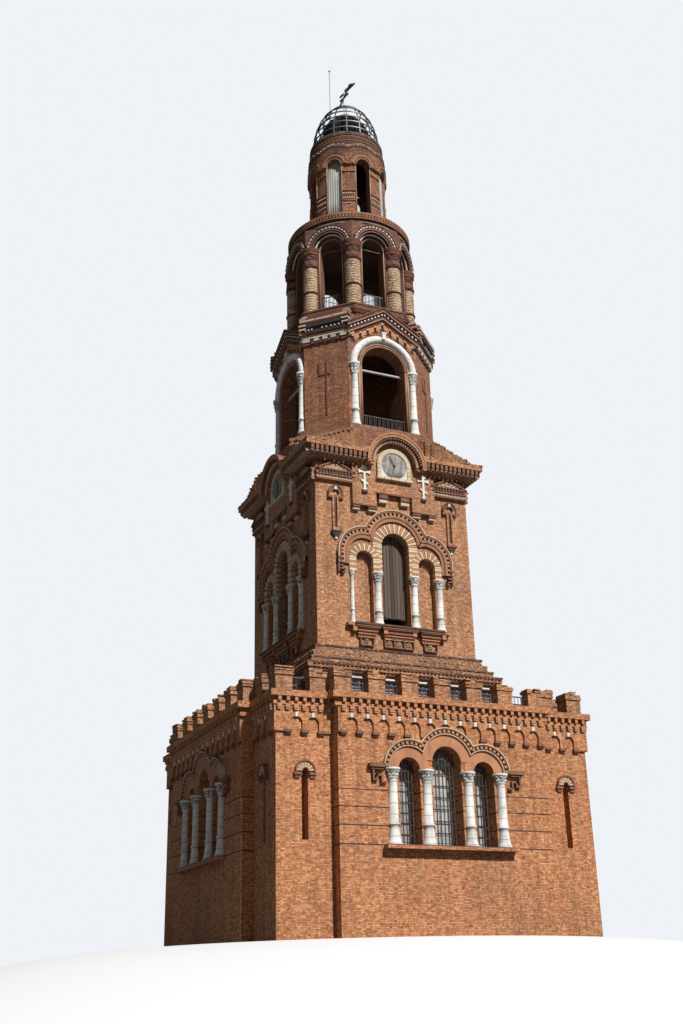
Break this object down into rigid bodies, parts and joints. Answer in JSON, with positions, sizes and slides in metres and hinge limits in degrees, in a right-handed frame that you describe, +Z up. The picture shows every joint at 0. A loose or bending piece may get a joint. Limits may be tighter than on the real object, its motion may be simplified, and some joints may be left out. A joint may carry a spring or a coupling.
{
  "type": "bell tower, 1:2 scale model",
  "caption": "Tall brick bell tower, a half-size model: square ground and clock storeys, octagonal bell storey, open arcade, round lantern and a bare iron dome with a fallen cross",
  "frame": {"origin": "on the ground, in the middle of the tower", "axes": "+Z up, the sunlit front faces -Y, +X to the right of the front"},
  "size_m": [10.13, 10.13, 30.2341],
  "materials": {
    "brick": "rough",
    "pale_stone": "rough",
    "striped_brick": "rough",
    "boards": "rough",
    "iron": "satin",
    "sheet": "satin",
    "dark_sheet": "matt",
    "white_paint": "satin",
    "glass": "gloss",
    "dial": "matt"
  },
  "bodies": {
    "root": {"aerial": "iron", "arcade_cornice": "brick", "arcade_ledge": "brick", "arcade_piers": "brick", "arcade_railings": "iron", "arcade_wall_back": "brick", "arcade_wall_front": "brick", "attic_and_foot": "brick", "attic_glass": "glass", "bell_arch_surrounds": "pale_stone", "bell_arch_walls": "brick", "bell_base": "brick", "bell_columns": "pale_stone", "bell_corner_walls": "brick", "bell_cornice": "brick", "bell_ties_and_railings": "iron", "clock_dial_frames": "pale_stone", "clock_dials": "dial", "clock_floor": "brick", "clock_gables": "brick", "clock_roof_and_cornice": "brick", "clock_wall_back": "brick", "clock_wall_front": "brick", "clock_wall_left": "brick", "clock_wall_right": "brick", "clock_window_boards": "boards", "clock_window_columns": "pale_stone", "clock_window_hoods": "brick", "clock_window_voussoirs": "striped_brick", "fallen_cross": "iron", "ground_corner_blocks": "brick", "ground_wall_back": "brick", "ground_wall_front": "brick", "ground_wall_left": "brick", "ground_wall_right": "brick", "ground_window_arches": "brick", "ground_window_columns": "pale_stone", "ground_window_screens": "sheet", "inner_cap": "dark_sheet", "iron_dome": "iron", "lantern_head": "brick", "lantern_rim": "iron", "lantern_sheets": "sheet", "lantern_wall_back": "brick", "lantern_wall_front": "brick", "mast": "white_paint", "parapet_merlons": "brick", "terrace_and_cornice": "brick", "terrace_railing": "iron", "tower_inner_arches": "brick"}
  },
  "joints": []
}
